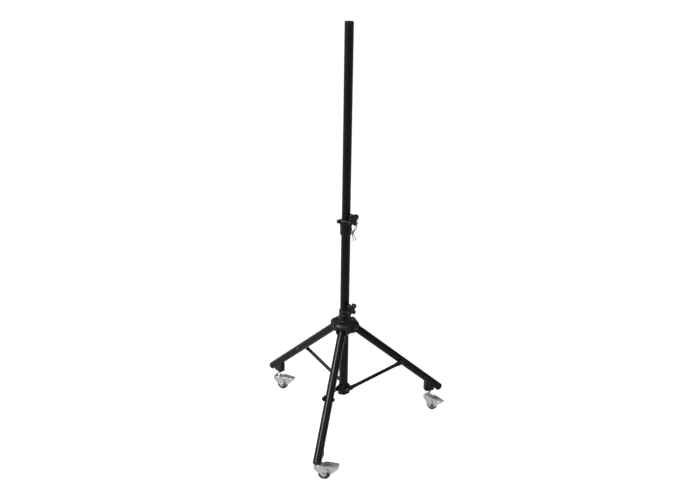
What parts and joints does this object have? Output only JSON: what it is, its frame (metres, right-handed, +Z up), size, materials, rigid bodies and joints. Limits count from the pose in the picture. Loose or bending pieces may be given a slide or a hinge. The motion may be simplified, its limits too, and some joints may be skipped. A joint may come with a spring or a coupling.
{
  "type": "speaker tripod stand",
  "caption": "Telescoping loudspeaker stand: a round pole in a column with a star-knob clamp and locking pin, on folding braced legs with braked swivel castors.",
  "frame": {"origin": "on the floor under the three castors, at the column's axis", "axes": "+Z up along the column and the pole; the front leg points to -Y, and +X is to the right seen from the front"},
  "size_m": [0.8348, 0.7101, 1.721],
  "materials": {
    "pole_powder_coat": "satin black powder coat",
    "column_powder_coat": "satin black powder coat",
    "leg_powder_coat": "semi-gloss black powder coat",
    "brace_powder_coat": "satin black powder coat",
    "moulded_black": "fine moulded grain",
    "cast_black": "painted casting with rubbed edges",
    "bracket_black": "moulded black",
    "cap_plastic": "smooth moulded black",
    "bush_plastic": "turned dark plastic",
    "knob_plastic": "glass-filled black plastic",
    "black_steel": "black oxide steel",
    "pin_steel": "bright steel, lightly scratched",
    "zinc_plate": "zinc-plated pressed steel",
    "tyre_rubber": "dark grey rubber",
    "wheel_plastic": "grey moulded plastic",
    "cord_black": "braided black cord"
  },
  "bodies": {
    "column": {"column_tube": "column_powder_coat", "lower_hub": "moulded_black", "brace_pivot_screws": "black_steel", "upper_collar": "moulded_black", "collar_bush": "bush_plastic", "collar_grub_screw": "black_steel", "lanyard_cord": "cord_black", "lanyard_eye_loop": "cord_black", "lanyard_tail_a": "cord_black", "lanyard_tail_b": "cord_black", "lanyard_knot": "cord_black"},
    "upper_pole": {"upper_pole": "pole_powder_coat", "pole_end_cap": "moulded_black", "pole_foot_bush": "bush_plastic"},
    "locking_pin": {"locking_pin": "pin_steel", "pin_ring": "pin_steel"},
    "upper_knob": {"upper_knob": "knob_plastic", "upper_knob_stud": "black_steel"},
    "carriage": {"hub_carriage": "cast_black", "carriage_bush": "bush_plastic", "leg_pivot_pins": "black_steel"},
    "lower_knob": {"lower_knob": "knob_plastic", "lower_knob_stud": "black_steel"},
    "front_leg": {"front_leg_tube": "leg_powder_coat", "front_leg_cap": "cap_plastic", "front_castor_bracket": "bracket_black", "front_castor_stem": "zinc_plate", "front_brace_bolt": "black_steel"},
    "front_brace": {"front_brace": "brace_powder_coat", "front_brace_head": "black_steel"},
    "front_castor": {"front_castor_fork": "zinc_plate", "front_wheel_axle": "zinc_plate"},
    "front_wheel": {"front_tyre": "tyre_rubber", "front_wheel_centre": "wheel_plastic"},
    "front_pedal": {"front_brake_pedal": "zinc_plate"},
    "right_leg": {"right_leg_tube": "leg_powder_coat", "right_leg_cap": "cap_plastic", "right_castor_bracket": "bracket_black", "right_castor_stem": "zinc_plate", "right_brace_bolt": "black_steel"},
    "right_brace": {"right_brace": "brace_powder_coat", "right_brace_head": "black_steel"},
    "right_castor": {"right_castor_fork": "zinc_plate", "right_wheel_axle": "zinc_plate"},
    "right_wheel": {"right_tyre": "tyre_rubber", "right_wheel_centre": "wheel_plastic"},
    "right_pedal": {"right_brake_pedal": "zinc_plate"},
    "left_leg": {"left_leg_tube": "leg_powder_coat", "left_leg_cap": "cap_plastic", "left_castor_bracket": "bracket_black", "left_castor_stem": "zinc_plate", "left_brace_bolt": "black_steel"},
    "left_brace": {"left_brace": "brace_powder_coat", "left_brace_head": "black_steel"},
    "left_castor": {"left_castor_fork": "zinc_plate", "left_wheel_axle": "zinc_plate"},
    "left_wheel": {"left_tyre": "tyre_rubber", "left_wheel_centre": "wheel_plastic"},
    "left_pedal": {"left_brake_pedal": "zinc_plate"}
  },
  "joints": [
    {"name": "pole_slide", "type": "slide", "parent": "column", "child": "upper_pole", "axis": [0, 0, 1], "range_m": [-0.5, 0.1]},
    {"name": "pin_slide", "type": "slide", "parent": "column", "child": "locking_pin", "axis": [0.866, 0.5, 0], "range_m": [-0.007, 0.012], "deforming": ["lanyard_cord"]},
    {"name": "upper_knob_turn", "type": "hinge", "parent": "column", "child": "upper_knob", "pos_m": [0.02598, -0.015, 0.957], "axis": [0.866, -0.5, 0], "range_deg": [0, 360]},
    {"name": "fold_slide", "type": "slide", "parent": "column", "child": "carriage", "axis": [0, 0, 1], "range_m": [0, 0.2278]},
    {"name": "lower_knob_turn", "type": "hinge", "parent": "carriage", "child": "lower_knob", "pos_m": [0.02598, -0.015, 0.561], "axis": [0.866, -0.5, 0], "range_deg": [0, 360]},
    {"name": "front_leg_fold", "type": "hinge", "parent": "carriage", "child": "front_leg", "pos_m": [0, -0.046, 0.4612], "axis": [1, 0, 0], "range_deg": [0, 30.56]},
    {"name": "front_brace_fold", "type": "hinge", "parent": "column", "child": "front_brace", "pos_m": [-0.022, -0.01, 0.172], "axis": [-1, 0, 0], "range_deg": [0, 41.13]},
    {"name": "front_castor_swivel", "type": "hinge", "parent": "front_leg", "child": "front_castor", "pos_m": [0, -0.41, 0.062], "axis": [0, 0, 1], "continuous": true},
    {"name": "front_wheel_roll", "type": "hinge", "parent": "front_castor", "child": "front_wheel", "pos_m": [0.0179, -0.40812, 0.025], "axis": [-0.1045, 0.9945, 0], "continuous": true},
    {"name": "front_brake_press", "type": "hinge", "parent": "front_castor", "child": "front_pedal", "pos_m": [0.02387, -0.40749, 0.057], "axis": [-0.1045, 0.9945, 0], "range_deg": [0, 9]},
    {"name": "right_leg_fold", "type": "hinge", "parent": "carriage", "child": "right_leg", "pos_m": [0.03984, 0.023, 0.4612], "axis": [-0.5, 0.866, 0], "range_deg": [0, 30.56]},
    {"name": "right_brace_fold", "type": "hinge", "parent": "column", "child": "right_brace", "pos_m": [0.01966, -0.01405, 0.172], "axis": [0.5, -0.866, 0], "range_deg": [0, 41.13]},
    {"name": "right_castor_swivel", "type": "hinge", "parent": "right_leg", "child": "right_castor", "pos_m": [0.35507, 0.205, 0.062], "axis": [0, 0, 1], "continuous": true},
    {"name": "right_wheel_roll", "type": "hinge", "parent": "right_castor", "child": "right_wheel", "pos_m": [0.36982, 0.19468, 0.025], "axis": [0.5736, 0.8192, 0], "continuous": true},
    {"name": "right_brake_press", "type": "hinge", "parent": "right_castor", "child": "right_pedal", "pos_m": [0.37473, 0.19123, 0.057], "axis": [0.5736, 0.8192, 0], "range_deg": [0, 9]},
    {"name": "left_leg_fold", "type": "hinge", "parent": "carriage", "child": "left_leg", "pos_m": [-0.03984, 0.023, 0.4612], "axis": [-0.5, -0.866, 0], "range_deg": [0, 30.56]},
    {"name": "left_brace_fold", "type": "hinge", "parent": "column", "child": "left_brace", "pos_m": [0.00234, 0.02405, 0.172], "axis": [0.5, 0.866, 0], "range_deg": [0, 41.13]},
    {"name": "left_castor_swivel", "type": "hinge", "parent": "left_leg", "child": "left_castor", "pos_m": [-0.35507, 0.205, 0.062], "axis": [0, 0, 1], "continuous": true},
    {"name": "left_wheel_roll", "type": "hinge", "parent": "left_castor", "child": "left_wheel", "pos_m": [-0.33729, 0.20218, 0.025], "axis": [0.1564, 0.9877, 0], "continuous": true},
    {"name": "left_brake_press", "type": "hinge", "parent": "left_castor", "child": "left_pedal", "pos_m": [-0.33137, 0.20125, 0.057], "axis": [0.1564, 0.9877, 0], "range_deg": [0, 9]}
  ],
  "couplings": [
    {"joint": "front_leg_fold", "follows": "fold_slide", "rad_per_m": 2.3414},
    {"joint": "front_brace_fold", "follows": "fold_slide", "rad_per_m": 3.1509},
    {"joint": "right_leg_fold", "follows": "fold_slide", "rad_per_m": 2.3414},
    {"joint": "right_brace_fold", "follows": "fold_slide", "rad_per_m": 3.1509},
    {"joint": "left_leg_fold", "follows": "fold_slide", "rad_per_m": 2.3414},
    {"joint": "left_brace_fold", "follows": "fold_slide", "rad_per_m": 3.1509}
  ]
}
